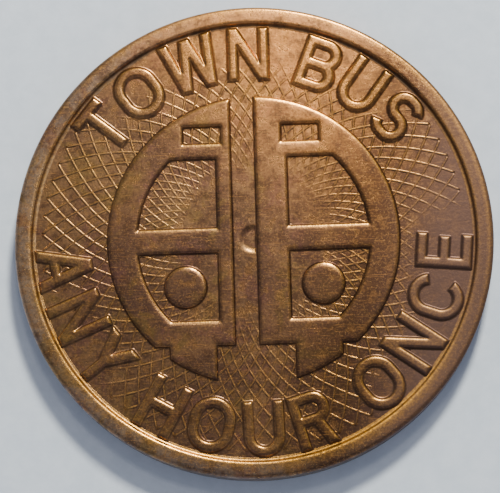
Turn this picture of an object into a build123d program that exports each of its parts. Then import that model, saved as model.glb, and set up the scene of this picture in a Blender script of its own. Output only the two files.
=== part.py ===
"""Transit token, 23 mm across: a struck brass disc with a raised rim, a two-part emblem and a legend.

The real token is one piece of metal, so every node here is one named struck feature of it.
The features meet face to face: the blank is the metal between the two fields, and each rim,
emblem half and word of the legend stands on a field. Millimetres, +Z is the obverse face, +Y is
12 o'clock, and the origin is the centre of the lower rim's plane, where the token rests.
"""

from build123d import *
from math import asin, atan2, cos, degrees, radians, sin, tan
import os

# Driving dimensions.
TOKEN_RADIUS = 11.5
TOKEN_THICKNESS = 1.6
RELIEF_LIMIT = 0.20        # height of the rim over the field, the highest relief on each face
RIM_WIDTH = 0.75
RIM_OUTER_ROUND = 0.18
RIM_INNER_ROUND = 0.08

DIMPLE_RADIUS = 0.68       # the punch mark at the centre of each field
DIMPLE_DEPTH = 0.10

EMBLEM_RADIUS = 7.0
EMBLEM_HEIGHT = 0.16
EMBLEM_STROKE = 1.4        # width of the emblem's arcs
SPLIT_LEFT = 1.0           # the plain strip between the halves, left and right of the centre line
SPLIT_RIGHT = 0.19
PILLAR = 1.7               # half the distance between the two windscreen panes
PANE_LOW, PANE_HIGH = 0.6, 4.0
BOARD_INNER, BOARD_OUTER = 1.45, 3.3      # the route board's window, either side of the split
BOARD_LOW, BOARD_HIGH = 4.75, 5.6
GRILLE_LOW, GRILLE_HIGH = -3.9, -0.6
LAMP_X, LAMP_Y, LAMP_RADIUS = 3.3, -2.25, 1.0
BUMPER_LOW = -5.1
WHEEL_INNER, WHEEL_OUTER = 1.9, 4.1

LETTER_HEIGHT = 2.6
LETTER_STROKE = 0.45
LETTER_RELIEF = 0.14
LEGEND_INNER_RADIUS = 7.84
LETTER_GAP = 0.48
WORD_GAP = 1.6
UPPER_LEGEND = ("TOWN", "BUS")
LOWER_LEGEND = ("ANY", "HOUR", "ONCE")

FIELD_LOW = RELIEF_LIMIT
FIELD_HIGH = TOKEN_THICKNESS - RELIEF_LIMIT
LEGEND_MID_RADIUS = LEGEND_INNER_RADIUS + LETTER_HEIGHT / 2

# A letter is a width and its contours, the outer one first and its counters after it. A contour
# point is (x, y) or (x, y, turn), where turn is the angle in degrees of the arc to the next
# point, positive to the left. x runs from 0 to the width, y from 0 to the letter's height.
H = LETTER_HEIGHT
S = LETTER_STROKE
BOWL = (H + S) / 4         # outer radius of the bowls of B, R and S
BOWL_IN = BOWL - S


def letter_a(w=2.05, foot=0.49, apex=0.26, bar_low=0.62, bar_high=1.02):
    lean = (w / 2 - apex) / H
    low = foot + lean * bar_low
    high = foot + lean * bar_high
    outer = [(0, 0), (foot, 0), (low, bar_low), (w - low, bar_low), (w - foot, 0), (w, 0),
             (w / 2 + apex, H), (w / 2 - apex, H)]
    return w, [outer, [(high, bar_high), (w - high, bar_high), (w / 2, (w / 2 - foot) / lean)]]


def letter_b(w=1.85):
    rise = H / 2 - BOWL
    waist = w - BOWL + (BOWL**2 - rise**2) ** 0.5
    turn = 90 + degrees(asin(rise / BOWL))
    outer = [(0, 0), (w - BOWL, 0, turn), (waist, H / 2, turn), (w - BOWL, H), (0, H)]
    return w, [outer, counter(w, S), counter(w, (H + S) / 2)]


def letter_c(w=2.0, opening=22):
    r = w / 2
    inner = r - S
    x_out, y_out = r + r * cos(radians(opening)), r * sin(radians(opening))
    x_in, y_in = r + inner * cos(radians(opening)), inner * sin(radians(opening))
    turn = 180 - opening
    return w, [[(x_out, H - r + y_out, turn), (0, H - r), (0, r, turn), (x_out, r - y_out),
                (x_in, r - y_in, -turn), (S, r), (S, H - r, -turn), (x_in, H - r + y_in)]]


def letter_e(w=1.6, middle=1.48):
    low, high = (H - S) / 2, (H + S) / 2
    return w, [[(0, 0), (w, 0), (w, S), (S, S), (S, low), (middle, low), (middle, high), (S, high),
                (S, H - S), (w, H - S), (w, H), (0, H)]]


def letter_h(w=1.9):
    low, high = (H - S) / 2, (H + S) / 2
    return w, [[(0, 0), (S, 0), (S, low), (w - S, low), (w - S, 0), (w, 0), (w, H), (w - S, H),
                (w - S, high), (S, high), (S, H), (0, H)]]


def letter_n(w=1.95, slant=0.87):
    return w, [[(0, 0), (S, 0), (S, H - slant), (w - S, 0), (w, 0), (w, H), (w - S, H),
                (w - S, slant), (S, H), (0, H)]]


def letter_o(w=2.15):
    r = w / 2
    return w, [[(0, r, 180), (w, r), (w, H - r, 180), (0, H - r)],
               [(S, r, 180), (w - S, r), (w - S, H - r, 180), (S, H - r)]]


def letter_r(w=1.85, foot=0.5, join=65):
    x_join = w - BOWL + BOWL * cos(radians(join))
    y_join = H - BOWL - BOWL * sin(radians(join))
    bowl_low = H - 2 * BOWL
    leg_top = w - foot - (w - x_join) * bowl_low / y_join
    outer = [(0, 0), (S, 0), (S, bowl_low), (leg_top, bowl_low), (w - foot, 0), (w, 0),
             (x_join, y_join, 90 + join), (w - BOWL, H), (0, H)]
    return w, [outer, counter(w, bowl_low + S)]


def letter_s(w=1.75, opening=25):
    left, right = BOWL, w - BOWL
    turn = 90 - opening
    c, s = cos(radians(opening)), sin(radians(opening))
    return w, [[(right + BOWL * c, H - BOWL + BOWL * s, turn), (right, H), (left, H, 180),
                (left, H - 2 * BOWL), (right, H - 2 * BOWL, -180), (right, S), (left, S, -turn),
                (left - BOWL_IN * c, BOWL - BOWL_IN * s), (left - BOWL * c, BOWL - BOWL * s, turn),
                (left, 0), (right, 0, 180), (right, 2 * BOWL), (left, 2 * BOWL, -180),
                (left, H - S), (right, H - S, -turn),
                (right + BOWL_IN * c, H - BOWL + BOWL_IN * s)]]


def letter_t(w=1.75):
    left, right = (w - S) / 2, (w + S) / 2
    return w, [[(left, 0), (right, 0), (right, H - S), (w, H - S), (w, H), (0, H), (0, H - S),
                (left, H - S)]]


def letter_u(w=1.9):
    r = w / 2
    return w, [[(0, r, 180), (w, r), (w, H), (w - S, H), (w - S, r, -180), (S, r), (S, H), (0, H)]]


def letter_w(w=2.7, foot=0.73, half=0.24, top=0.47):
    outer_lean = foot - half
    inner_lean = w / 2 - foot
    notch = (w / 2 - half - top) / (outer_lean + inner_lean)
    notch_x = top + outer_lean * notch
    peak = H * (1 - half / inner_lean)
    return w, [[(foot - half, 0), (foot + half, 0), (w / 2, peak), (w - foot - half, 0),
                (w - foot + half, 0), (w, H), (w - top, H), (w - notch_x, H * (1 - notch)),
                (w / 2 + half, H), (w / 2 - half, H), (notch_x, H * (1 - notch)), (top, H),
                (0, H)]]


def letter_y(w=2.0, fork=1.1, arm=0.54):
    left, right = (w - S) / 2, (w + S) / 2
    crotch = H - (w / 2 - arm) * (H - fork) / left
    return w, [[(left, 0), (right, 0), (right, fork), (w, H), (w - arm, H), (w / 2, crotch),
                (arm, H), (0, H), (left, fork)]]


def counter(w, low):
    """The D-shaped opening inside a bowl, its lower edge at low."""
    return [(S, low), (w - BOWL, low, 180), (w - BOWL, low + 2 * BOWL_IN), (S, low + 2 * BOWL_IN)]


ALPHABET = {"A": letter_a, "B": letter_b, "C": letter_c, "E": letter_e, "H": letter_h,
            "N": letter_n, "O": letter_o, "R": letter_r, "S": letter_s, "T": letter_t,
            "U": letter_u, "W": letter_w, "Y": letter_y}


def contour_face(points):
    """A flat face bounded by a contour's lines and arcs."""
    edges = []
    for here, after in zip(points, points[1:] + points[:1]):
        start, end = Vector(here[0], here[1]), Vector(after[0], after[1])
        if len(here) == 3:
            chord = end - start
            bulge = tan(radians(here[2]) / 4)
            middle = (start + end) / 2 + Vector(chord.Y, -chord.X) * (bulge / 2)
            edges.append(ThreePointArc(start, middle, end).edge())
        else:
            edges.append(Line(start, end).edge())
    return Face(Wire(edges))


def face_with_openings(contours):
    """The flat face inside the first contour and outside the others."""
    face = contour_face(contours[0])
    for opening in contours[1:]:
        face -= contour_face(opening)
    return face


def raised(face, height):
    """The solid that a flat face makes, standing on the upper field."""
    return extrude(Pos(0, 0, FIELD_HIGH) * face, amount=height, dir=(0, 0, 1)).solid()


def legend_letters(words, centre_angle, inward):
    """For each word, its letters with the angle on the face where each one stands."""
    widths = [[ALPHABET[character]()[0] for character in word] for word in words]
    run = sum(sum(word) + LETTER_GAP * (len(word) - 1) for word in widths)
    run += WORD_GAP * (len(words) - 1)
    direction = 1 if inward else -1
    place = -run / 2
    placed = []
    for word, word_widths in zip(words, widths):
        letters = []
        for character, width in zip(word, word_widths):
            turn = degrees((place + width / 2) / LEGEND_MID_RADIUS)
            letters.append((character, centre_angle + direction * turn))
            place += width + LETTER_GAP
        place += WORD_GAP - LETTER_GAP
        placed.append((word, letters))
    return placed


def word_solids(letters, inward):
    """One word's letters as separate solids standing on the upper field."""
    solids = []
    for character, angle in letters:
        width, contours = ALPHABET[character]()
        tilt = angle + 90 if inward else angle - 90
        x, y = LEGEND_MID_RADIUS * cos(radians(angle)), LEGEND_MID_RADIUS * sin(radians(angle))
        place = Pos(x, y) * Rot(0, 0, tilt) * Pos(-width / 2, -H / 2)
        solids.append(raised(place * face_with_openings(contours), LETTER_RELIEF))
    return solids


def across(radius, offset):
    """Half the chord of a circle at that distance from its centre."""
    return (radius**2 - offset**2) ** 0.5


def arc_from(start, end):
    """A contour's point at start, with the turn about the centre to end."""
    turn = atan2(start[0] * end[1] - start[1] * end[0], start[0] * end[0] + start[1] * end[1])
    return (*start, degrees(turn))


def window(low, high):
    """An opening from the centre pillar to the emblem's round stroke."""
    inner = EMBLEM_RADIUS - EMBLEM_STROKE
    lower, upper = (across(inner, low), low), (across(inner, high), high)
    return [(PILLAR, low), arc_from(lower, upper), upper, (PILLAR, high)]


def emblem_contours(split):
    """The right half of a round-roofed bus front, cut off at x = split: its body and its lamp."""
    wheel_in = (WHEEL_INNER, -across(EMBLEM_RADIUS, WHEEL_INNER))
    wheel_out = (WHEEL_OUTER, -across(EMBLEM_RADIUS, WHEEL_OUTER))
    side = (across(EMBLEM_RADIUS, BUMPER_LOW), BUMPER_LOW)
    top = (split, across(EMBLEM_RADIUS, split))
    body = [(split, BUMPER_LOW), (WHEEL_INNER, BUMPER_LOW), arc_from(wheel_in, wheel_out),
            wheel_out, (WHEEL_OUTER, BUMPER_LOW), arc_from(side, top), top]
    board = [(BOARD_INNER, BOARD_LOW), (BOARD_OUTER, BOARD_LOW), (BOARD_OUTER, BOARD_HIGH),
             (BOARD_INNER, BOARD_HIGH)]
    lamp = [(LAMP_X - LAMP_RADIUS, LAMP_Y, 180), (LAMP_X + LAMP_RADIUS, LAMP_Y, 180)]
    openings = [window(PANE_LOW, PANE_HIGH), window(GRILLE_LOW, GRILLE_HIGH), board]
    return [[body] + openings, [lamp]]


def emblem_half(side):
    """The solids of the emblem's left (-1) or right (1) half, standing on the upper field."""
    solids = []
    for contours in emblem_contours(SPLIT_LEFT if side < 0 else SPLIT_RIGHT):
        face = face_with_openings(contours)
        if side < 0:
            face = mirror(face, about=Plane.YZ)
        solids.append(raised(face, EMBLEM_HEIGHT))
    return solids


def rim():
    """The upper rim: a ring with a round outer edge, standing on the field."""
    ring = extrude(Circle(TOKEN_RADIUS) - Circle(TOKEN_RADIUS - RIM_WIDTH), amount=RELIEF_LIMIT)
    top = ring.faces().sort_by(Axis.Z)[-1]
    ring = fillet(top.edges().sort_by(lambda edge: edge.radius)[-1], RIM_OUTER_ROUND)
    top = ring.faces().filter_by(GeomType.PLANE).sort_by(Axis.Z)[-1]
    ring = fillet(top.edges().sort_by(lambda edge: edge.radius)[0], RIM_INNER_ROUND)
    return [(Pos(0, 0, FIELD_HIGH) * ring).solid()]


def dimple():
    """The punch mark in the upper field, up to the emblem's right half, which covers the rest."""
    ball_radius = (DIMPLE_RADIUS**2 + DIMPLE_DEPTH**2) / (2 * DIMPLE_DEPTH)
    ball = Pos(0, 0, FIELD_HIGH + ball_radius - DIMPLE_DEPTH) * Sphere(ball_radius)
    side = 4 * DIMPLE_RADIUS
    return ball & (Pos(SPLIT_RIGHT - side / 2, 0, FIELD_HIGH) * Box(side, side, side))


def turned_over(shape):
    """The same feature on the reverse face, turned over about the X axis."""
    return Pos(0, 0, TOKEN_THICKNESS) * Rot(180, 0, 0) * shape


def blank():
    """The metal between the two fields, with a punch mark in each."""
    disc = Pos(0, 0, FIELD_LOW) * extrude(Circle(TOKEN_RADIUS), amount=FIELD_HIGH - FIELD_LOW)
    return [(disc - dimple() - turned_over(dimple())).solid()]


def face_features():
    """Every feature of the obverse face, by name."""
    features = {"rim": rim(), "emblem_left": emblem_half(-1), "emblem_right": emblem_half(1)}
    for words, centre_angle, inward in ((UPPER_LEGEND, 90, False), (LOWER_LEGEND, 270, True)):
        for word, letters in legend_letters(words, centre_angle, inward):
            features["word_" + word.lower()] = word_solids(letters, inward)
    return features


os.makedirs("parts", exist_ok=True)
nodes = {"blank": blank()}
for name, solids in face_features().items():
    nodes["obverse_" + name] = solids
    nodes["reverse_" + name] = [turned_over(solid) for solid in solids]
for name, solids in nodes.items():
    shape = solids[0] if len(solids) == 1 else Compound(children=solids)
    export_step(shape, f"parts/{name}.step")
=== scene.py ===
"""The looks of the transit token: struck relief, engine-turned field and worn, patinated brass.

Shapes are worked out in millimetres on the obverse face and turned over for the reverse. Each CAD
node is replaced by a closed mesh with drafted walls, rounded shoulders and fillets at the foot.
"""

from math import asin, atan2, cos, degrees, pi, radians, sin, tan

import bpy
import numpy as np
from mathutils import Matrix, Vector
from mathutils.geometry import delaunay_2d_cdt


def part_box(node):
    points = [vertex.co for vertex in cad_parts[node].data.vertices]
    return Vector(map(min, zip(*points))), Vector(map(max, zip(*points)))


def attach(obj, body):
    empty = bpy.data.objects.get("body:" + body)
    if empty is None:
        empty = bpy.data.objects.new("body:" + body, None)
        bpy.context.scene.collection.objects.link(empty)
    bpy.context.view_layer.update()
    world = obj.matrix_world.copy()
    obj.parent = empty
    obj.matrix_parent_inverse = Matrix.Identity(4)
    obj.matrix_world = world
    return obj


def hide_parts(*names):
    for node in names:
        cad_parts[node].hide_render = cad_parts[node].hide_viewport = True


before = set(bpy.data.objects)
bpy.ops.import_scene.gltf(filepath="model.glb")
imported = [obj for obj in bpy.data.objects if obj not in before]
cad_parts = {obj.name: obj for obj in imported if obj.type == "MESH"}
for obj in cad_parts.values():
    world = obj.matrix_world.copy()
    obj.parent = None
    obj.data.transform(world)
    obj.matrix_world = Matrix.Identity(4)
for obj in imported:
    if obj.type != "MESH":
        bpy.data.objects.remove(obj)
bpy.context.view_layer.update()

MM = 0.001


def reach_mm(node):
    """A CAD node's lowest and highest corner in millimetres."""
    return [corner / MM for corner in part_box(node)]


# Sizes that come from the frame, in millimetres.
TOKEN_RADIUS = reach_mm("blank")[1].x
THICKNESS = reach_mm("obverse_rim")[1].z
FIELD = reach_mm("blank")[1].z
RIM_HEIGHT = THICKNESS - FIELD
LETTER_RELIEF = reach_mm("obverse_word_town")[1].z - FIELD
EMBLEM_RELIEF = reach_mm("obverse_emblem_right")[1].z - FIELD
EMBLEM_RADIUS = -reach_mm("obverse_emblem_left")[0].x
SPLIT_LEFT = -reach_mm("obverse_emblem_left")[1].x
SPLIT_RIGHT = reach_mm("obverse_emblem_right")[0].x

# Shapes that the frame's boxes don't give. They repeat the CAD's own dimensions.
RIM_WIDTH = 0.75
DIMPLE_RADIUS = 0.68
DIMPLE_DEPTH = 0.10
EMBLEM_STROKE = 1.4
PILLAR = 1.7
PANE_LOW, PANE_HIGH = 0.6, 4.0
BOARD_INNER, BOARD_OUTER = 1.45, 3.3
BOARD_LOW, BOARD_HIGH = 4.75, 5.6
GRILLE_LOW, GRILLE_HIGH = -3.9, -0.6
LAMP_X, LAMP_Y, LAMP_RADIUS = 3.3, -2.25, 1.0
BUMPER_LOW = -5.1
WHEEL_INNER, WHEEL_OUTER = 1.9, 4.1
TALL = 2.6                 # height of a letter
STROKE = 0.45              # width of its strokes
BOWL = (TALL + STROKE) / 4    # outer radius of the bowls of B, R and S
BOWL_INNER = BOWL - STROKE
LEGEND_RADIUS = 7.84 + TALL / 2
LETTER_GAP = 0.48
WORD_GAP = 1.6
UPPER_LEGEND = ("TOWN", "BUS")
LOWER_LEGEND = ("ANY", "HOUR", "ONCE")

# The engine-turned lines.
LATTICE_LINES = 72         # in each of the two mirrored families
LATTICE_TURN = 0.110       # radians of turn per millimetre of radius, near the centre
LATTICE_EASE = 0.117       # how much less it is at the edge
LATTICE_PHASE = radians(1.6)
LATTICE_INNER, LATTICE_OUTER = 2.2, 10.2
LATTICE_HEIGHT = 0.019
LATTICE_HALF_WIDTH = 0.080
LATTICE_FOOT = -0.003      # the ridges' feet lie just under the field
LATTICE_SEED = 7
LEGEND_GAPS = ((142, 192), (224, 304), (6, 38))    # degrees, between groups of letters

SINK = 0.06                # how far a feature's underside lies inside the blank
AWAY_FROM_KEY = np.array((cos(radians(245)), sin(radians(245))))    # away from the key lamp: the side where shade is painted


# Outlines -------------------------------------------------------------------------------------
# A contour point is (x, y) or (x, y, turn): turn is the angle in degrees of the arc to the next
# point, positive to the left. An outline is its outer contour and then its openings. Each letter
# gives its width and its outline, whose lower left corner is (0, 0).

def letter_a(wide=2.05, foot=0.49, apex=0.26, bar_low=0.62, bar_high=1.02):
    lean = (wide / 2 - apex) / TALL
    low = foot + lean * bar_low
    high = foot + lean * bar_high
    outer = [(0, 0), (foot, 0), (low, bar_low), (wide - low, bar_low), (wide - foot, 0), (wide, 0),
             (wide / 2 + apex, TALL), (wide / 2 - apex, TALL)]
    peak = (wide / 2 - foot) / lean
    return wide, [outer, [(high, bar_high), (wide - high, bar_high), (wide / 2, peak)]]


def letter_b(wide=1.85):
    rise = TALL / 2 - BOWL
    waist = wide - BOWL + (BOWL**2 - rise**2) ** 0.5
    turn = 90 + degrees(asin(rise / BOWL))
    outer = [(0, 0), (wide - BOWL, 0, turn), (waist, TALL / 2, turn), (wide - BOWL, TALL),
             (0, TALL)]
    return wide, [outer, counter(wide, STROKE), counter(wide, (TALL + STROKE) / 2)]


def letter_c(wide=2.0, opening=22):
    bend = wide / 2
    inner = bend - STROKE
    x_out, y_out = bend + bend * cos(radians(opening)), bend * sin(radians(opening))
    x_in, y_in = bend + inner * cos(radians(opening)), inner * sin(radians(opening))
    turn = 180 - opening
    return wide, [[(x_out, TALL - bend + y_out, turn), (0, TALL - bend), (0, bend, turn),
                   (x_out, bend - y_out), (x_in, bend - y_in, -turn), (STROKE, bend),
                   (STROKE, TALL - bend, -turn), (x_in, TALL - bend + y_in)]]


def letter_e(wide=1.6, middle=1.48):
    low, high = (TALL - STROKE) / 2, (TALL + STROKE) / 2
    return wide, [[(0, 0), (wide, 0), (wide, STROKE), (STROKE, STROKE), (STROKE, low),
                   (middle, low), (middle, high), (STROKE, high), (STROKE, TALL - STROKE),
                   (wide, TALL - STROKE), (wide, TALL), (0, TALL)]]


def letter_h(wide=1.9):
    low, high = (TALL - STROKE) / 2, (TALL + STROKE) / 2
    return wide, [[(0, 0), (STROKE, 0), (STROKE, low), (wide - STROKE, low), (wide - STROKE, 0),
                   (wide, 0), (wide, TALL), (wide - STROKE, TALL), (wide - STROKE, high),
                   (STROKE, high), (STROKE, TALL), (0, TALL)]]


def letter_n(wide=1.95, slant=0.87):
    return wide, [[(0, 0), (STROKE, 0), (STROKE, TALL - slant), (wide - STROKE, 0), (wide, 0),
                   (wide, TALL), (wide - STROKE, TALL), (wide - STROKE, slant), (STROKE, TALL),
                   (0, TALL)]]


def letter_o(wide=2.15):
    bend = wide / 2
    return wide, [[(0, bend, 180), (wide, bend), (wide, TALL - bend, 180), (0, TALL - bend)],
                  [(STROKE, bend, 180), (wide - STROKE, bend), (wide - STROKE, TALL - bend, 180),
                   (STROKE, TALL - bend)]]


def letter_r(wide=1.85, foot=0.5, join=65):
    x_join = wide - BOWL + BOWL * cos(radians(join))
    y_join = TALL - BOWL - BOWL * sin(radians(join))
    bowl_low = TALL - 2 * BOWL
    leg_top = wide - foot - (wide - x_join) * bowl_low / y_join
    outer = [(0, 0), (STROKE, 0), (STROKE, bowl_low), (leg_top, bowl_low), (wide - foot, 0),
             (wide, 0), (x_join, y_join, 90 + join), (wide - BOWL, TALL), (0, TALL)]
    return wide, [outer, counter(wide, bowl_low + STROKE)]


def letter_s(wide=1.75, opening=25):
    left, right = BOWL, wide - BOWL
    turn = 90 - opening
    c, s = cos(radians(opening)), sin(radians(opening))
    return wide, [[(right + BOWL * c, TALL - BOWL + BOWL * s, turn), (right, TALL),
                   (left, TALL, 180), (left, TALL - 2 * BOWL), (right, TALL - 2 * BOWL, -180),
                   (right, STROKE), (left, STROKE, -turn),
                   (left - BOWL_INNER * c, BOWL - BOWL_INNER * s),
                   (left - BOWL * c, BOWL - BOWL * s, turn), (left, 0), (right, 0, 180),
                   (right, 2 * BOWL), (left, 2 * BOWL, -180), (left, TALL - STROKE),
                   (right, TALL - STROKE, -turn),
                   (right + BOWL_INNER * c, TALL - BOWL + BOWL_INNER * s)]]


def letter_t(wide=1.75):
    left, right = (wide - STROKE) / 2, (wide + STROKE) / 2
    return wide, [[(left, 0), (right, 0), (right, TALL - STROKE), (wide, TALL - STROKE),
                   (wide, TALL), (0, TALL), (0, TALL - STROKE), (left, TALL - STROKE)]]


def letter_u(wide=1.9):
    bend = wide / 2
    return wide, [[(0, bend, 180), (wide, bend), (wide, TALL), (wide - STROKE, TALL),
                   (wide - STROKE, bend, -180), (STROKE, bend), (STROKE, TALL), (0, TALL)]]


def letter_w(wide=2.7, foot=0.73, half=0.24, top=0.47):
    outer_lean = foot - half
    inner_lean = wide / 2 - foot
    notch = (wide / 2 - half - top) / (outer_lean + inner_lean)
    notch_x = top + outer_lean * notch
    peak = TALL * (1 - half / inner_lean)
    return wide, [[(foot - half, 0), (foot + half, 0), (wide / 2, peak), (wide - foot - half, 0),
                   (wide - foot + half, 0), (wide, TALL), (wide - top, TALL),
                   (wide - notch_x, TALL * (1 - notch)), (wide / 2 + half, TALL),
                   (wide / 2 - half, TALL), (notch_x, TALL * (1 - notch)), (top, TALL), (0, TALL)]]


def letter_y(wide=2.0, fork=1.1, arm=0.54):
    left, right = (wide - STROKE) / 2, (wide + STROKE) / 2
    crotch = TALL - (wide / 2 - arm) * (TALL - fork) / left
    return wide, [[(left, 0), (right, 0), (right, fork), (wide, TALL), (wide - arm, TALL),
                   (wide / 2, crotch), (arm, TALL), (0, TALL), (left, fork)]]


def counter(wide, low):
    """The D-shaped opening inside a bowl, its lower edge at low."""
    return [(STROKE, low), (wide - BOWL, low, 180), (wide - BOWL, low + 2 * BOWL_INNER),
            (STROKE, low + 2 * BOWL_INNER)]


ALPHABET = {"A": letter_a, "B": letter_b, "C": letter_c, "E": letter_e, "H": letter_h,
            "N": letter_n, "O": letter_o, "R": letter_r, "S": letter_s, "T": letter_t,
            "U": letter_u, "W": letter_w, "Y": letter_y}


def across(radius, offset):
    """Half the chord of a circle at that distance from its centre."""
    return (radius**2 - offset**2) ** 0.5


def arc_from(start, end):
    """A contour's point at start, with the turn about the centre to end."""
    turn = atan2(start[0] * end[1] - start[1] * end[0], start[0] * end[0] + start[1] * end[1])
    return (*start, degrees(turn))


def window(low, high):
    """An opening from the centre pillar to the emblem's round stroke."""
    inner = EMBLEM_RADIUS - EMBLEM_STROKE
    lower, upper = (across(inner, low), low), (across(inner, high), high)
    return [(PILLAR, low), arc_from(lower, upper), upper, (PILLAR, high)]


def emblem_outline(split):
    """The right half of a round-roofed bus front, cut off at x = split, with its lamp last."""
    wheel_in = (WHEEL_INNER, -across(EMBLEM_RADIUS, WHEEL_INNER))
    wheel_out = (WHEEL_OUTER, -across(EMBLEM_RADIUS, WHEEL_OUTER))
    side = (across(EMBLEM_RADIUS, BUMPER_LOW), BUMPER_LOW)
    top = (split, across(EMBLEM_RADIUS, split))
    body = [(split, BUMPER_LOW), (WHEEL_INNER, BUMPER_LOW), arc_from(wheel_in, wheel_out),
            wheel_out, (WHEEL_OUTER, BUMPER_LOW), arc_from(side, top), top]
    board = [(BOARD_INNER, BOARD_LOW), (BOARD_OUTER, BOARD_LOW), (BOARD_OUTER, BOARD_HIGH),
             (BOARD_INNER, BOARD_HIGH)]
    lamp = [(LAMP_X - LAMP_RADIUS, LAMP_Y, 180), (LAMP_X + LAMP_RADIUS, LAMP_Y, 180)]
    return [body, window(PANE_LOW, PANE_HIGH), window(GRILLE_LOW, GRILLE_HIGH), board, lamp]


def contour_points(contour, sag=0.0006):
    """Points along a contour: the ends of its lines, and points on its arcs within sag of them."""
    points = []
    for here, after in zip(contour, contour[1:] + contour[:1]):
        start, end = np.array(here[:2], float), np.array(after[:2], float)
        chord = end - start
        if len(here) == 2:
            points.append([start])
        else:
            turn = radians(here[2])
            radius = abs(np.hypot(*chord) / 2 / sin(turn / 2))
            centre = (start + end) / 2 + np.array((-chord[1], chord[0])) / 2 / tan(turn / 2)
            count = max(2, round(radius * abs(turn) / (8 * radius * sag) ** 0.5))
            first = atan2(start[1] - centre[1], start[0] - centre[0])
            angles = first + turn * np.arange(count) / count
            ring = np.stack((np.cos(angles), np.sin(angles)), 1)
            points.append(centre + radius * ring)
    return np.concatenate(points)


def signed_distance(points, loops):
    """How far each point is inside (+) or outside (-) the area that the loops bound."""
    starts = np.concatenate(loops)
    ends = np.concatenate([np.roll(loop, -1, 0) for loop in loops])
    along = ends - starts
    size = (along**2).sum(1)
    distance = np.empty(len(points))
    block = 4000
    for first in range(0, len(points), block):
        part = points[first:first + block, None, :]
        offset = part - starts
        share = np.clip((offset * along).sum(2) / size, 0, 1)
        gap = np.sqrt(((offset - share[..., None] * along) ** 2).sum(2).min(1))
        above = (starts[:, 1] > part[..., 1]) != (ends[:, 1] > part[..., 1])
        rise = np.where(along[:, 1] == 0, 1, along[:, 1])
        crossing = starts[:, 0] + (part[..., 1] - starts[:, 1]) * along[:, 0] / rise
        inside = (above & (part[..., 0] < crossing)).sum(1) % 2 == 1
        distance[first:first + block] = np.where(inside, gap, -gap)
    return distance


def level_lines(field, origin, cell, level):
    """The closed lines on which the sampled field has that level, as lists of points."""
    above = field > level
    code = (above[:-1, :-1] * 1 + above[:-1, 1:] * 2 + above[1:, 1:] * 4 + above[1:, :-1] * 8)
    follow = {}
    # Which sides of a cell a line enters and leaves by: 0 low, 1 right, 2 high, 3 left.
    sides = {1: ((3, 0),), 2: ((0, 1),), 3: ((3, 1),), 4: ((1, 2),), 5: ((3, 0), (1, 2)),
             6: ((0, 2),), 7: ((3, 2),), 8: ((2, 3),), 9: ((2, 0),), 10: ((0, 1), (2, 3)),
             11: ((2, 1),), 12: ((1, 3),), 13: ((1, 0),), 14: ((0, 3),)}
    for j, i in zip(*np.nonzero((code > 0) & (code < 15))):
        keys = ((i, j, 0), (i + 1, j, 1), (i, j + 1, 0), (i, j, 1))
        for enter, leave in sides[int(code[j, i])]:
            follow[keys[enter]] = keys[leave]
    lines = []
    while follow:
        start = next(iter(follow))
        key, line = start, []
        while key in follow:
            i, j, upright = key
            other = (j + 1, i) if upright else (j, i + 1)
            low, high = field[j, i], field[other]
            share = (level - low) / (high - low)
            step = (0, share) if upright else (share, 0)
            line.append((origin[0] + (i + step[0]) * cell, origin[1] + (j + step[1]) * cell))
            key = follow.pop(key)
        if len(line) > 5:
            lines.append(np.array(line))
    return lines


def even_loop(points, step):
    """The closed line through the points, with its own points about step apart."""
    closed = np.concatenate((points, points[:1]))
    run = np.concatenate(([0], np.cumsum(np.hypot(*np.diff(closed, axis=0).T))))
    count = max(6, round(run[-1] / step))
    places = np.arange(count) * run[-1] / count
    return np.stack([np.interp(places, run, closed[:, k]) for k in (0, 1)], 1)


# Relief ---------------------------------------------------------------------------------------
# Profiles go from the field, outside the outline, up the wall to the top: each row is the
# distance inside the outline, the height as a share of the relief, the grime with painted shade
# and the wear with painted highlight. A last number is the share on edges that face up, where the
# punch leaned and left a wider shoulder.
LETTER_PROFILE = (
    (-0.140, -0.10, 0.00, 0.00), (-0.105, 0.00, 0.40, 0.00), (-0.078, 0.05, 0.80, 0.00),
    (-0.056, 0.15, 1.00, 0.00), (-0.035, 0.31, 0.90, 0.05), (-0.014, 0.49, 0.60, 0.20),
    (0.007, 0.66, 0.20, 0.50), (0.028, 0.79, 0.00, 0.80), (0.052, 0.89, 0.00, 1.00),
    (0.082, 0.955, 0.00, 0.90), (0.120, 0.99, 0.00, 0.70), (0.160, 1.00, 0.00, 0.60))
EMBLEM_PROFILE = (
    (-0.120, -0.10, 0.00, 0.00, -0.10), (-0.080, 0.00, 0.25, 0.00, 0.00),
    (-0.058, 0.05, 0.65, 0.00, 0.05), (-0.038, 0.16, 0.90, 0.00, 0.16),
    (-0.020, 0.36, 0.70, 0.05, 0.35), (-0.002, 0.59, 0.30, 0.20, 0.55),
    (0.016, 0.78, 0.00, 0.50, 0.69), (0.045, 0.905, 0.00, 1.00, 0.79),
    (0.095, 0.97, 0.00, 1.00, 0.89), (0.150, 0.99, 0.00, 0.40, 0.975),
    (0.210, 1.00, 0.00, 0.10, 1.00))


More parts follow.
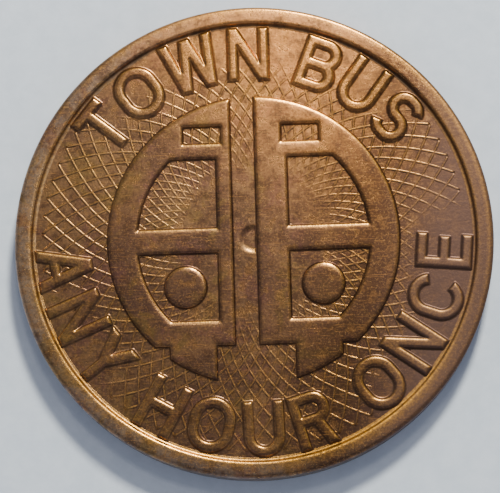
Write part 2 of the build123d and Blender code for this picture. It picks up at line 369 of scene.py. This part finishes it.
class InsideField:
    """How far inside an outline each point lies, sampled on a grid of square cells."""

    def __init__(self, outline, cell, margin=0.25):
        loops = [contour_points(contour) for contour in outline]
        self.cell = cell
        self.low = np.min([loop.min(0) for loop in loops], 0) - margin
        self.high = np.max([loop.max(0) for loop in loops], 0) + margin
        self.nx, self.ny = np.ceil((self.high - self.low) / cell).astype(int) + 1
        grid = grid_points(self.low[0] + cell * np.arange(self.nx),
                           self.low[1] + cell * np.arange(self.ny))
        self.values = signed_distance(grid, loops).reshape(self.ny, self.nx)

    def at(self, points):
        """The field at any points, smooth between the grid's own."""
        place = (points - self.low) / self.cell
        i = np.clip(place.astype(int), 0, (self.nx - 2, self.ny - 2))
        fx, fy = (place - i).T
        i, j = i.T
        values = self.values
        lower = values[j, i] * (1 - fx) + values[j, i + 1] * fx
        upper = values[j + 1, i] * (1 - fx) + values[j + 1, i + 1] * fx
        return lower * (1 - fy) + upper * fy

    def facing_up(self, points):
        """1 on edges that face up the face, 0 on those that face down or to the sides."""
        step = self.cell
        across_x = self.at(points + (step, 0)) - self.at(points - (step, 0))
        across_y = self.at(points + (0, step)) - self.at(points - (0, step))
        return np.clip((-across_y / np.hypot(across_x, across_y) - 0.35) / 0.4, 0, 1)

    def rings(self, level, step):
        """The closed lines at a level, with points about step apart."""
        lines = level_lines(self.values, self.low, self.cell, level)
        return [even_loop(line, step) for line in lines]


def grid_points(xs, ys):
    """Every pairing of the xs and ys as a list of points."""
    xs, ys = np.meshgrid(xs, ys)
    return np.stack((xs.ravel(), ys.ravel()), 1)


def triangulate(points, loops, borders):
    """Triangles over the points, with every loop an edge, inside the first loops, the borders."""
    edges = []
    for first, count in loops:
        edges += [(first + k, first + (k + 1) % count) for k in range(count)]
    flat = [Vector(point) for point in points.tolist()]
    _, _, faces, origins, _, _ = delaunay_2d_cdt(flat, edges, [], 0, 1e-9)
    order = np.array([origin[0] if origin else -1 for origin in origins])
    if (order < 0).any():
        raise ValueError("two level lines cross")
    faces = order[np.array(faces, int)].tolist()
    fences = set(edges[:sum(count for _, count in loops[:borders])])
    return np.array(fenced_faces(faces, fences))


def fenced_faces(faces, fences):
    """The faces just right of the fences, and all that join them without crossing a fence."""
    on_side = {}
    for index, (a, b, c) in enumerate(faces):
        on_side[a, b] = on_side[b, c] = on_side[c, a] = index
    waiting = [on_side[end, start] for start, end in fences]
    kept = set(waiting)
    while waiting:
        a, b, c = faces[waiting.pop()]
        for start, end in ((a, b), (b, c), (c, a)):
            other = on_side.get((end, start))
            fenced = (start, end) in fences or (end, start) in fences
            if other is not None and other not in kept and not fenced:
                kept.add(other)
                waiting.append(other)
    return [faces[index] for index in sorted(kept)]


def strip(first, second, here, after):
    """Two triangles for each step from here to after, between two rows of points."""
    return [np.stack((first + here, first + after, second + after), 1),
            np.stack((first + here, second + after, second + here), 1)]


def around(count):
    """The places of a closed row's points, and of the point after each."""
    here = np.arange(count)
    return here, (here + 1) % count


def relief_mesh(outline, relief, profile, cell=0.022, step=0.05, inner_step=0.16):
    """A closed mesh of one struck feature: x, y, height over the field, grime with painted shade,
    and wear with painted highlight.
    """
    field = InsideField(outline, cell)
    rows, spans, values, count = [], [], [], 0
    foot_count = foot_spans = 0
    for index, (level, share, grime, wear, *leaning) in enumerate(profile):
        for ring in field.rings(level, step):
            rows.append(ring)
            spans.append((count, len(ring)))
            up = field.facing_up(ring) if leaning else np.zeros(len(ring))
            height = relief * (share + up * ((leaning or [share])[0] - share))
            # Edges that face up the face, toward the lamps, keep no grime or painted shade.
            values.append(np.stack((height, grime * (1 - up), np.full(len(ring), wear)), 1))
            count += len(ring)
        if index == 0:
            foot_count, foot_spans = count, len(spans)
    last_level, share, grime, wear = profile[-1][:4]
    middle = grid_points(np.arange(field.low[0], field.high[0], inner_step),
                         np.arange(field.low[1], field.high[1], inner_step))
    middle = middle[field.at(middle) > last_level + inner_step / 2]
    rows.append(middle)
    values.append(np.tile((share * relief, grime, wear), (len(middle), 1)))
    points, values = np.concatenate(rows), np.concatenate(values)
    top = triangulate(points, spans, foot_spans)
    foot, below = points[:foot_count], len(points)
    under = triangulate(foot, spans[:foot_spans], foot_spans)[:, ::-1] + below
    sides = []
    for first, size in spans[:foot_spans]:
        here, after = around(size)
        sides += strip(first, below + first, here, after)
    base = np.tile((-SINK, 0, 0), (foot_count, 1))
    vertices = np.concatenate((np.column_stack((points, values)), np.column_stack((foot, base))))
    return outward(vertices, np.concatenate([top, under] + sides))


def outward(vertices, faces):
    """The same closed mesh with its faces turned to face out."""
    corners = vertices[faces][:, :, :3]
    volume = np.einsum("ij,ij->i", corners[:, 0], np.cross(corners[:, 1], corners[:, 2])).sum()
    return vertices, faces if volume > 0 else faces[:, ::-1]


def joined(meshes):
    """Several meshes as one."""
    vertices, faces, count = [], [], 0
    for points, corners in meshes:
        vertices.append(points)
        faces.append(corners + count)
        count += len(points)
    return np.concatenate(vertices), np.concatenate(faces)


def lit_and_shaded(mesh, level_grime_and_shade, level_wear_and_highlight):
    """The mesh with its grime and painted shade kept where it faces away from the key lamp, and
    its wear and painted highlight where it faces toward it.

    The two levels are the shares that a level surface keeps.
    """
    vertices, faces = mesh
    corners = vertices[faces][:, :, :3]
    normals = np.cross(corners[:, 1] - corners[:, 0], corners[:, 2] - corners[:, 0])
    facing = np.stack([sum(np.bincount(faces[:, k], normals[:, axis], len(vertices))
                           for k in range(3)) for axis in range(3)], 1)
    facing /= np.linalg.norm(facing, axis=1)[:, None] + 1e-12
    lean = facing[:, :2] @ AWAY_FROM_KEY
    vertices = vertices.copy()
    vertices[:, 3] *= np.clip(level_grime_and_shade + 1.8 * lean, 0, 1)
    vertices[:, 4] *= np.clip(level_wear_and_highlight - 1.5 * lean, 0, 1)
    return vertices, faces


def degrees_from(angles, centre):
    """How far each angle, in radians, lies from a centre in degrees."""
    return np.abs((np.degrees(angles) - centre + 180) % 360 - 180)


def bump_at(angles, centre, half_width):
    """1 at an angle in degrees, falling smoothly to 0 at half_width from it."""
    away = degrees_from(angles, centre) / half_width
    return np.where(away < 1, np.cos(np.clip(away, 0, 1) * pi / 2) ** 2, 0)


def weak_strike(x, y):
    """The strength of the strike: 1, but less near the right-hand edge."""
    near_edge = np.clip((np.hypot(x, y) - 6) / 2, 0, 1)
    return 1 - 0.6 * bump_at(np.arctan2(y, x), -6, 34) * near_edge


def turned(mesh, angle, x=0.0, y=0.0):
    """A mesh turned by an angle in degrees about the origin and then moved."""
    vertices, faces = mesh
    c, s = cos(radians(angle)), sin(radians(angle))
    vertices = vertices.copy()
    px, py = vertices[:, 0].copy(), vertices[:, 1].copy()
    vertices[:, 0] = c * px - s * py + x
    vertices[:, 1] = s * px + c * py + y
    return vertices, faces


def mirrored(mesh):
    """A mesh mirrored left to right."""
    vertices, faces = mesh
    vertices = vertices.copy()
    vertices[:, 0] *= -1
    return vertices, faces[:, ::-1]


letter_store = {}


def letter_mesh(character):
    """A letter's relief, centred on its width and half its height."""
    if character not in letter_store:
        width, outline = ALPHABET[character]()
        vertices, faces = relief_mesh(outline, LETTER_RELIEF, LETTER_PROFILE)
        vertices[:, 0] -= width / 2
        vertices[:, 1] -= TALL / 2
        letter_store[character] = vertices, faces
    return letter_store[character]


def legend_words(words, centre_angle, inward):
    """Each word's name and the mesh of its letters, set round the face."""
    widths = [[ALPHABET[character]()[0] for character in word] for word in words]
    run = sum(sum(word) + LETTER_GAP * (len(word) - 1) for word in widths)
    run += WORD_GAP * (len(words) - 1)
    place = -run / 2
    for word, word_widths in zip(words, widths):
        letters = []
        for character, width in zip(word, word_widths):
            turn = degrees((place + width / 2) / LEGEND_RADIUS)
            angle = centre_angle + (turn if inward else -turn)
            x, y = LEGEND_RADIUS * cos(radians(angle)), LEGEND_RADIUS * sin(radians(angle))
            letters.append(turned(letter_mesh(character), angle + (90 if inward else -90), x, y))
            place += width + LETTER_GAP
        place += WORD_GAP - LETTER_GAP
        yield word.lower(), shaded_worn_word(joined(letters))


def shaded_worn_word(mesh):
    """A word with its grime and painted shade and its wear and painted highlights, lower and
    fainter where the strike was weak.
    """
    vertices, faces = lit_and_shaded(mesh, 1.0, 0.25)
    share = weak_strike(vertices[:, 0], vertices[:, 1])
    lower = vertices[:, 2] * (0.7 + 0.3 * share)
    vertices[:, 2] = np.where(vertices[:, 2] > 0, lower, vertices[:, 2])
    vertices[:, 3:] *= share[:, None]
    # Less grime and painted shade toward the top of the face.
    vertices[:, 3] *= 1 - 0.6 * np.clip(vertices[:, 1] / 7, 0, 1)
    return vertices, faces


# Round features -------------------------------------------------------------------------------

def ring_of_points(angles, radius, height, grime, wear):
    """The vertices of one ring, whose values are the same all round or given for each angle."""
    columns = (radius * np.cos(angles), radius * np.sin(angles), height, grime, wear)
    return np.column_stack([np.broadcast_to(column, len(angles)) for column in columns])


RIM_STEPS = 1080
RIM_LIP = 0.22             # radius of the rounded outer edge
RIM_FOOT = 0.31            # how far the rim's fillet reaches over the field
# From the crown down the inner wall to the field: the distance outside the rim's inner radius, the
# height as a share of the rim's, the grime with painted shade and the wear with painted highlight.
RIM_PROFILE = (
    (0.36, 1.0, 0, 0.1), (0.12, 1.0, 0, 0.35), (0.04, 0.99, 0, 0.75), (0.0, 0.955, 0, 1.0),
    (-0.03, 0.87, 0, 1.0), (-0.052, 0.74, 0, 1.0), (-0.072, 0.55, 0.5, 0.9),
    (-0.092, 0.36, 0.8, 0.9), (-0.112, 0.18, 1.0, 0.9), (-0.132, 0.075, 1.0, 0.9),
    (-0.165, 0.020, 1.0, 1.0), (-0.22, 0.006, 0.9, 0.9), (-0.27, 0.0, 0.4, 0.4),
    (-RIM_FOOT, -0.06, 0, 0))


def rim_mesh(obverse):
    """The raised rim, shallower at the lower right of the obverse, where the strike was weak."""
    angles = np.arange(RIM_STEPS) * 2 * pi / RIM_STEPS
    weak = bump_at(angles, -35, 50) if obverse else 0 * angles
    height = RIM_HEIGHT * (1 - 0.45 * weak)
    inner = TOKEN_RADIUS - RIM_WIDTH
    polish_and_highlight = bump_at(angles, 70, 150)
    rings = []
    # The rounded outer lip: wear with a painted highlight on the side toward the lamps, a little
    # grime with painted shade on the rest.
    for turn in np.radians(np.linspace(0, 90, 9)):
        rings.append(ring_of_points(angles, TOKEN_RADIUS - RIM_LIP + RIM_LIP * cos(turn),
                                    height * sin(turn), 0.1 * (1 - polish_and_highlight),
                                    0.3 * sin(turn) * polish_and_highlight))
    # Grime with painted shade lies on the inner wall where it faces down, away from the lamps, and
    # wear with a painted highlight where it faces up, toward them. There is less of both at the
    # sides.
    shade = np.clip(0.1 + 1.5 * bump_at(angles, 85, 100), 0, 1)
    haze = 1 - 0.85 * bump_at(angles, -8, 60) - 0.5 * bump_at(angles, 175, 60)
    for inset, share, grime, wear in RIM_PROFILE:
        rings.append(ring_of_points(angles, inner + inset, share * height,
                                    grime * shade * haze, wear * (1 - shade) * haze))
    rings.append(ring_of_points(angles, inner - RIM_FOOT, -SINK, 0, 0))
    rings.append(ring_of_points(angles, TOKEN_RADIUS - 0.02, -SINK, 0, 0))
    faces = []
    for k in range(len(rings)):
        faces += strip(k * RIM_STEPS, (k + 1) % len(rings) * RIM_STEPS, *around(RIM_STEPS))
    return outward(np.concatenate(rings), np.concatenate(faces))


BLANK_STEPS = 360


def blank_mesh():
    """The disc between the fields, as one closed mesh: both fields and the wall."""
    angles = np.arange(BLANK_STEPS) * 2 * pi / BLANK_STEPS
    radii = np.concatenate((np.arange(0.05, 1.0, 0.05), np.arange(1.0, 10.4, 0.14),
                            np.arange(10.4, TOKEN_RADIUS, 0.05)))
    slope = np.clip((DIMPLE_RADIUS + 0.04 - radii) / 0.26, 0, 1)
    dip = -DIMPLE_DEPTH * 0.5 * slope**2 * (3 - 2 * slope)
    # Round the dimple's edge: grime with painted shade, but on the obverse's lower side, which
    # faces the lamps, wear with a painted highlight instead.
    dimple_shade = 0.3 * np.exp(-((radii - DIMPLE_RADIUS + 0.1) / 0.1) ** 2)
    polish_and_highlight = np.exp(-((radii - DIMPLE_RADIUS + 0.12) / 0.12) ** 2)
    lit_side = bump_at(angles, 275, 90)
    bottom = THICKNESS - FIELD
    rows = []
    for radius, height, grime, wear in zip(radii, dip, dimple_shade, polish_and_highlight):
        rows.append((radius, FIELD + height, grime * (1 - lit_side), wear * lit_side))
    rows += [(TOKEN_RADIUS, height, 0, 0) for height in np.linspace(FIELD, bottom, 9)]
    # The reverse's dimple has grime with painted shade all round.
    for radius, height, grime in zip(radii[::-1], dip[::-1], dimple_shade[::-1]):
        rows.append((radius, bottom - height, grime, 0))
    rings = [ring_of_points(angles, *row) for row in rows]
    here, after = around(BLANK_STEPS)
    faces = []
    for k in range(len(rings) - 1):
        faces += strip(k * BLANK_STEPS, (k + 1) * BLANK_STEPS, here, after)
    last = (len(rings) - 1) * BLANK_STEPS
    top_centre = len(rings) * BLANK_STEPS
    bottom_centre = top_centre + 1
    faces.append(np.stack((np.full(BLANK_STEPS, top_centre), after, here), 1))
    faces.append(np.stack((np.full(BLANK_STEPS, bottom_centre), last + here, last + after), 1))
    centres = [(0, 0, FIELD + dip[0], 0, 0), (0, 0, bottom - dip[0], 0, 0)]
    return outward(np.concatenate(rings + [centres]), np.concatenate(faces))


def lattice_turn(radius):
    """How far a line has turned at a radius, counted from where the lines meet at their ends."""
    def curve(r):
        return LATTICE_TURN * r * (1 - LATTICE_EASE * (r / TOKEN_RADIUS) ** 2)
    return curve(LATTICE_OUTER) - curve(radius)


# A ridge's section: how far across it a point is, and its height as a share of the crest's.
RIDGE_SECTION = ((-1.0, 0.0), (-0.5, 0.62), (0.0, 1.0), (0.5, 0.62), (1.0, 0.0))
CROSSING_HEIGHT = 0.78     # of a ridge where two of them cross, as a share of its crest's


def lattice_mesh():
    """The engine-turned lines: two mirrored families of thin ridges, lower where they cross."""
    fine = np.linspace(LATTICE_OUTER, LATTICE_INNER, 2000)
    crossings = lattice_turn(fine) * LATTICE_LINES / pi
    wanted = (np.arange(int(crossings[-1]))[:, None] + (0, 0.2, 0.5, 0.8)).ravel()
    stations = np.interp(wanted, crossings, fine)
    level = np.where(np.arange(len(wanted)) % 4 == 0, CROSSING_HEIGHT, 1.0)
    turn = lattice_turn(stations)
    fade = np.clip((stations - LATTICE_INNER) / 4, 0, 1)
    fade = fade**2 * (3 - 2 * fade) * level
    fade[0] = 0.3
    chance = np.random.default_rng(LATTICE_SEED)
    ridges = []
    for family in (-1, 1):
        for line in range(LATTICE_LINES):
            angle = LATTICE_PHASE + 2 * pi * line / LATTICE_LINES + family * turn
            share = fade * strength(stations, angle) * chance.uniform(0.6, 1.25, len(fade))
            centre = np.stack((stations * np.cos(angle), stations * np.sin(angle)), 1)
            ridges.append(ridge_mesh(centre, share))
    return joined(ridges)


def ridge_mesh(centre, share):
    """One ridge along the points, with grime and painted shade on the side away from the key lamp,
    and wear and painted highlight on the other.
    """
    ahead = np.gradient(centre, axis=0)
    ahead /= np.hypot(*ahead.T)[:, None]
    side = np.stack((-ahead[:, 1], ahead[:, 0]), 1)
    rows = []
    for across_share, up in RIDGE_SECTION:
        place = centre + side * across_share * LATTICE_HALF_WIDTH
        lift = up * LATTICE_HEIGHT * share + LATTICE_FOOT
        lean = across_share * side @ AWAY_FROM_KEY
        grime = np.clip(0.35 + 2.6 * lean, 0, 1)
        wear = up * np.clip(0.35 - 1.6 * lean, 0, 1)
        rows.append(np.column_stack((place, lift, grime * share, wear * share)))
    buried = np.broadcast_to((-SINK / 2, 0, 0), (len(centre), 3))
    rows.append(np.column_stack((centre, buried)))
    return tube(rows)


def strength(radius, angle):
    """How strongly the lines are struck: they are lost round the legend, but for three gaps."""
    band = np.clip((radius - 7.6) / 1.6, 0, 1)
    clear = np.zeros(len(radius))
    for start, end in LEGEND_GAPS:
        away = degrees_from(angle, (start + end) / 2)
        clear = np.maximum(clear, np.clip(((end - start) / 2 - away) / 8 + 0.5, 0, 1))
    x, y = radius * np.cos(angle), radius * np.sin(angle)
    return (1 - band * (1 - clear) * 0.93) * weak_strike(x, y) ** 2


def tube(rows):
    """A closed tube whose section's corners run along the rows, all of one length."""
    sides, count = len(rows), len(rows[0])
    along = np.arange(count - 1)
    faces = []
    for k in range(sides):
        faces += strip(k * count, (k + 1) % sides * count, along, along + 1)
    for k in range(1, sides - 1):
        faces.append(np.array([(0, k * count, (k + 1) * count)]))
        faces.append(np.array([(count - 1, (k + 2) * count - 1, (k + 1) * count - 1)]))
    return outward(np.concatenate(rows), np.concatenate(faces))


# Materials ------------------------------------------------------------------------------------

class Nodes:
    """Short calls for building a material's nodes."""

    def __init__(self, name):
        self.material = bpy.data.materials.new(name)
        self.material.use_nodes = True
        self.tree = self.material.node_tree
        self.shader = self.tree.nodes["Principled BSDF"]

    def node(self, kind, **settings):
        """A new node with those settings."""
        made = self.tree.nodes.new("ShaderNode" + kind)
        for name, value in settings.items():
            setattr(made, name, value)
        return made

    def put(self, socket, value):
        """Links a socket to another node's output, or sets it to a plain value."""
        if isinstance(value, bpy.types.NodeSocket):
            self.tree.links.new(value, socket)
        else:
            socket.default_value = value

    def math(self, operation, a, b):
        """The result of a sum, difference or product."""
        made = self.node("Math", operation=operation)
        self.put(made.inputs[0], a)
        self.put(made.inputs[1], b)
        return made.outputs[0]

    def remap(self, value, low, high, to_low=0.0, to_high=1.0):
        """A value from low to high, turned smoothly into one from to_low to to_high."""
        made = self.node("MapRange", interpolation_type="SMOOTHSTEP")
        for socket, number in zip(made.inputs, (value, low, high, to_low, to_high)):
            self.put(socket, number)
        return made.outputs[0]

    def mix(self, share, a, b):
        """Colour a with that share of colour b."""
        made = self.node("Mix", data_type="RGBA")
        self.put(made.inputs["Factor"], share)
        self.put(made.inputs[6], a)
        self.put(made.inputs[7], b)
        return made.outputs[2]

    def noise(self, place, scale, detail, rough, distortion=0.0):
        """Noise from 0 to 1 with features about 1/scale across."""
        made = self.node("TexNoise")
        self.put(made.inputs["Vector"], place)
        made.inputs["Scale"].default_value = scale
        made.inputs["Detail"].default_value = detail
        made.inputs["Roughness"].default_value = rough
        made.inputs["Distortion"].default_value = distortion
        return made.outputs[0]

    def placed(self, place, scale=(1, 1, 1), angle=0.0, shift=(0, 0, 0)):
        """A place scaled, turned about Z by an angle in degrees, and shifted."""
        made = self.node("Mapping")
        self.put(made.inputs["Vector"], place)
        made.inputs["Location"].default_value = shift
        made.inputs["Rotation"].default_value = (0, 0, radians(angle))
        made.inputs["Scale"].default_value = scale
        return made.outputs[0]

    def place_mm(self):
        """The place on the object, in millimetres."""
        place = self.node("TexCoord").outputs["Object"]
        return self.placed(place, scale=(1 / MM, 1 / MM, 1 / MM))

    def across(self, place, angle):
        """How far a place lies in the direction of an angle in degrees."""
        made = self.node("VectorMath", operation="DOT_PRODUCT")
        self.put(made.inputs[0], place)
        made.inputs[1].default_value = (cos(radians(angle)), sin(radians(angle)), 0)
        return made.outputs["Value"]

    def attribute(self, name):
        """A value stored on the mesh's points."""
        return self.node("Attribute", attribute_name=name).outputs["Fac"]


def colour(red, green, blue):
    """A display colour from 0 to 255 as the linear colour that a shader takes."""
    linear = [((c / 255 + 0.055) / 1.055) ** 2.4 for c in (red, green, blue)]
    return (*linear, 1.0)


# Colours laid over the brass. Some are painted light: a sheen toward the upper right, shade toward
# the right, glints on specks, highlights with wear and shade with dirt.
TONES = {
    "mauve": (112, 80, 82), "olive": (122, 102, 66), "painted_sheen": (194, 134, 74),
    "shaded": (66, 47, 40), "tan": (160, 118, 76), "umber": (76, 56, 50),
    "dark_fleck": (58, 43, 36), "light_fleck": (168, 128, 84), "glint_speck": (200, 164, 116),
    "scratch": (206, 152, 92), "haze": (84, 69, 72), "worn_and_highlight": (226, 170, 66), "dirt_and_shade": (50, 34, 25)}
MOTTLE_BUMP, GRAIN_BUMP, SCRATCH_DEPTH = 0.006, 0.005, 0.0008    # millimetres


def brass(name, dark, light, wear_and_highlight_share, dullness, sparkle):
    """Old struck brass: brown patina, grime and painted shade at the foot of the relief, worn
    edges with painted highlights.
    """
    n = Nodes(name)
    place = n.place_mm()
    patches = n.noise(place, 0.22, 4.0, 0.6, 0.6)
    tints = n.noise(n.placed(place, shift=(31, 7, 3)), 0.45, 5.0, 0.62, 1.0)
    mottle = n.noise(place, 1.6, 6.0, 0.62)
    grain = n.noise(place, 9.0, 3.0, 0.65)
    specks = n.noise(n.placed(place, shift=(5, 3, 8)), 17.0, 1.0, 0.5)
    painted_sheen, hazy_and_shaded = n.across(place, 52), n.across(place, -12)
    grime, wear = n.attribute("grime"), n.attribute("wear")
    scratches = n.math("ADD", scratch_lines(n, place, (1.2, 26, 1), 35, (0, 0, 0), 0.62),
                       scratch_lines(n, place, (1.0, 34, 1), -62, (5, 2, 0), 0.64))

    dirt_and_shade = n.math("MULTIPLY", grime, n.remap(mottle, 0.25, 0.6, 0.7, 1.0))
    worn_and_highlight = n.math("MULTIPLY", wear, n.remap(grain, 0.35, 0.65, 1.0, 0.35))
    base = n.mix(n.remap(patches, 0.36, 0.66), colour(*dark), colour(*light))
    for share, tone in (
            (n.remap(tints, 0.52, 0.62, 0, 0.6), "mauve"),
            (n.remap(tints, 0.46, 0.36, 0, 0.6), "olive"),
            # A painted sheen: lighter and more golden toward the upper right, where the lamps are.
            (n.remap(painted_sheen, 0.0, 9.0, 0, 0.68), "painted_sheen"),
            # Painted shade: darker toward the right.
            (n.remap(hazy_and_shaded, 1.0, 5.5, 0, 0.8), "shaded"),
            (n.remap(mottle, 0.47, 0.36, 0, 0.4), "tan"),
            (n.remap(mottle, 0.44, 0.64, 0, 0.7), "umber"),
            (n.remap(grain, 0.46, 0.66, 0, 0.36), "dark_fleck"),
            (n.remap(grain, 0.46, 0.36, 0, 0.35), "light_fleck"),
            # Bright specks, partly painted glints.
            (n.remap(specks, 0.66, 0.74, 0, sparkle), "glint_speck"),
            (n.math("MULTIPLY", scratches, 0.7), "scratch"),
            (n.remap(hazy_and_shaded, 5.0, 9.5, 0, 0.8), "haze"),
            # Golden wear and painted highlight.
            (n.math("MULTIPLY", worn_and_highlight, wear_and_highlight_share), "worn_and_highlight"),
            # Dark grime and painted shade.
            (n.math("MULTIPLY", dirt_and_shade, 0.85), "dirt_and_shade")):
        base = n.mix(share, base, colour(*TONES[tone]))
    n.put(n.shader.inputs["Base Color"], base)
    n.put(n.shader.inputs["Metallic"], n.remap(dirt_and_shade, 0.0, 1.0, 0.95, 0.45))

    rough = n.remap(mottle, 0.3, 0.7, dullness - 0.02, dullness + 0.05)
    rough = n.math("ADD", rough, n.math("MULTIPLY", dirt_and_shade, 0.25))
    rough = n.math("SUBTRACT", rough, n.math("MULTIPLY", wear, 0.07))
    rough = n.math("ADD", rough, n.remap(hazy_and_shaded, 5.0, 9.5, 0, 0.17))
    n.put(n.shader.inputs["Roughness"], rough)

    height = n.math("ADD", n.math("MULTIPLY", mottle, MOTTLE_BUMP),
                    n.math("MULTIPLY", grain, GRAIN_BUMP))
    height = n.math("SUBTRACT", height, n.math("MULTIPLY", scratches, SCRATCH_DEPTH))
    bump = n.node("Bump")
    bump.inputs["Strength"].default_value = 1.0
    bump.inputs["Distance"].default_value = MM
    n.put(bump.inputs["Height"], height)
    n.put(n.shader.inputs["Normal"], bump.outputs[0])
    return n.material


def scratch_lines(n, place, scale, angle, shift, threshold):
    """Hairline scratches that run near one direction: noise drawn out along it."""
    streaks = n.noise(n.placed(place, scale, angle, shift), 1.0, 2.0, 0.5)
    return n.remap(streaks, threshold, 0.74, 0, 0.5)


# Each brass: its darker and lighter brown, the share of gold where it is worn or has a painted
# highlight, its roughness and how bright its specks, partly painted glints, are.
BRASSES = {
    "field_brass": ((100, 79, 70), (136, 108, 86), 0.45, 0.28, 0.4),
    "rim_brass": ((116, 106, 108), (146, 131, 124), 0.90, 0.29, 0.9),
    "emblem_brass": ((92, 72, 68), (126, 98, 80), 0.65, 0.28, 0.4),
    "legend_brass": ((102, 82, 73), (134, 107, 86), 0.60, 0.28, 0.4)}
MATERIALS = {name: brass(name, *looks) for name, looks in BRASSES.items()}


# Pieces ---------------------------------------------------------------------------------------

def piece(name, mesh, slot, node=None, reverse=False, on_field=True):
    """A Blender object from a mesh in millimetres, on the obverse or turned to the reverse."""
    vertices, faces = mesh
    places = vertices[:, :3].copy()
    if on_field:
        places[:, 2] += FIELD
    if reverse:
        places[:, 1] *= -1
        places[:, 2] = THICKNESS - places[:, 2]
    data = bpy.data.meshes.new(name)
    data.vertices.add(len(places))
    data.vertices.foreach_set("co", (places * MM).ravel())
    data.loops.add(faces.size)
    data.loops.foreach_set("vertex_index", faces.ravel())
    data.polygons.add(len(faces))
    data.polygons.foreach_set("loop_start", np.arange(0, faces.size, 3))
    data.update(calc_edges=True)
    data.polygons.foreach_set("use_smooth", np.ones(len(faces), bool))
    for column, label in ((3, "grime"), (4, "wear")):
        layer = data.attributes.new(label, "FLOAT", "POINT")
        layer.data.foreach_set("value", vertices[:, column].astype(np.float32))
    data.materials.append(MATERIALS[slot])
    made = bpy.data.objects.new(name, data)
    bpy.context.scene.collection.objects.link(made)
    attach(made, "root")
    if node:
        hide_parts(node)
    return made


def build_token():
    """Every piece of the token."""
    piece("blank_body", blank_mesh(), "field_brass", "blank", on_field=False)
    left, right = (relief_mesh(emblem_outline(split), EMBLEM_RELIEF, EMBLEM_PROFILE, 0.03, 0.07)
                   for split in (SPLIT_LEFT, SPLIT_RIGHT))
    relief = {f"emblem_{side}": (lit_and_shaded(mesh, 0.6, 0.1), "emblem_brass")
              for side, mesh in (("left", mirrored(left)), ("right", right))}
    for words, centre_angle, inward in ((UPPER_LEGEND, 90, False), (LOWER_LEGEND, 270, True)):
        for word, mesh in legend_words(words, centre_angle, inward):
            relief[f"word_{word}"] = mesh, "legend_brass"
    lattice = lattice_mesh()
    for face in ("obverse", "reverse"):
        reverse = face == "reverse"
        piece(f"{face}_rim_ring", rim_mesh(not reverse), "rim_brass", f"{face}_rim", reverse)
        piece(f"{face}_engine_turning", lattice, "field_brass", None, reverse)
        for feature, (mesh, slot) in relief.items():
            node = f"{face}_{feature}"
            piece(f"{node}_relief", mesh, slot, node, reverse)


# Stage ----------------------------------------------------------------------------------------

FLOOR_HALF = 0.4
SKY_RAMP = (0.35, 0.95, 0.57, 0.29)    # the rise where it starts and ends, and its strength there
SKY_COLOUR = (1.02, 0.963, 0.87, 1)


def make_floor():
    """A plain pale sheet under the token."""
    data = bpy.data.meshes.new("floor")
    corners = [(-1, -1), (1, -1), (1, 1), (-1, 1)]
    data.from_pydata([(x * FLOOR_HALF, y * FLOOR_HALF, 0) for x, y in corners], [], [(0, 1, 2, 3)])
    n = Nodes("floor_paper")
    fibre = n.noise(n.place_mm(), 0.9, 6.0, 0.7)
    paper = n.mix(n.remap(fibre, 0.3, 0.7), colour(185, 205, 246), colour(195, 214, 255))
    n.put(n.shader.inputs["Base Color"], paper)
    n.shader.inputs["Roughness"].default_value = 0.9
    data.materials.append(n.material)
    floor = bpy.data.objects.new("floor", data)
    bpy.context.scene.collection.objects.link(floor)


def aimed(place):
    """The matrix of a camera or lamp at a place, looking back at the origin."""
    return Matrix.Translation(place) @ place.to_track_quat("Z", "Y").to_matrix().to_4x4()


def make_camera(elevation=79.5, azimuth=10.0, turn=1.8, distance=0.11, view_width=0.02394):
    """The camera, aimed near the token's centre from almost straight above."""
    data = bpy.data.cameras.new("camera")
    data.sensor_width = 36.0
    data.lens = data.sensor_width * distance / view_width
    data.clip_start = 0.005
    camera = bpy.data.objects.new("camera", data)
    bpy.context.scene.collection.objects.link(camera)
    target = Vector((-0.17, -0.39, THICKNESS)) * MM
    tilt, side = radians(elevation), radians(azimuth)
    away = distance * Vector((sin(side) * cos(tilt), -cos(side) * cos(tilt), sin(tilt)))
    camera.matrix_world = (Matrix.Translation(target) @ aimed(away)
                           @ Matrix.Rotation(radians(-turn - azimuth), 4, "Z"))
    bpy.context.scene.camera = camera


def area_light(name, turn, rise, far, size, watts, tint):
    """A soft square lamp that faces the token, placed by its angles and its distance."""
    data = bpy.data.lights.new(name, "AREA")
    data.shape = "SQUARE"
    data.size = size
    data.energy = watts
    data.color = tint
    lamp = bpy.data.objects.new(name, data)
    turn, rise = radians(turn), radians(rise)
    away = Vector((cos(turn) * cos(rise), sin(turn) * cos(rise), sin(rise)))
    lamp.matrix_world = aimed(far * away)
    bpy.context.scene.collection.objects.link(lamp)


def make_light():
    """A key from beyond the token, a little to the right, under a sky that is dark overhead."""
    area_light("key", 75, 43, 0.20, 0.030, 0.79, (1.0, 0.87, 0.585))
    area_light("overhead", 80, 67, 0.20, 0.032, 0.058, (1.0, 0.85, 0.60))
    world = bpy.data.worlds.new("studio")
    world.use_nodes = True
    tree = world.node_tree
    background = tree.nodes["Background"]
    up = tree.nodes.new("ShaderNodeSeparateXYZ")
    tree.links.new(tree.nodes.new("ShaderNodeTexCoord").outputs["Generated"], up.inputs[0])
    level = tree.nodes.new("ShaderNodeMapRange")
    level.interpolation_type = "SMOOTHSTEP"
    for socket, number in zip(list(level.inputs)[1:5], SKY_RAMP):
        socket.default_value = number
    tree.links.new(up.outputs["Z"], level.inputs[0])
    tree.links.new(level.outputs[0], background.inputs["Strength"])
    background.inputs["Color"].default_value = SKY_COLOUR
    bpy.context.scene.world = world


make_camera()
make_floor()
make_light()
build_token()
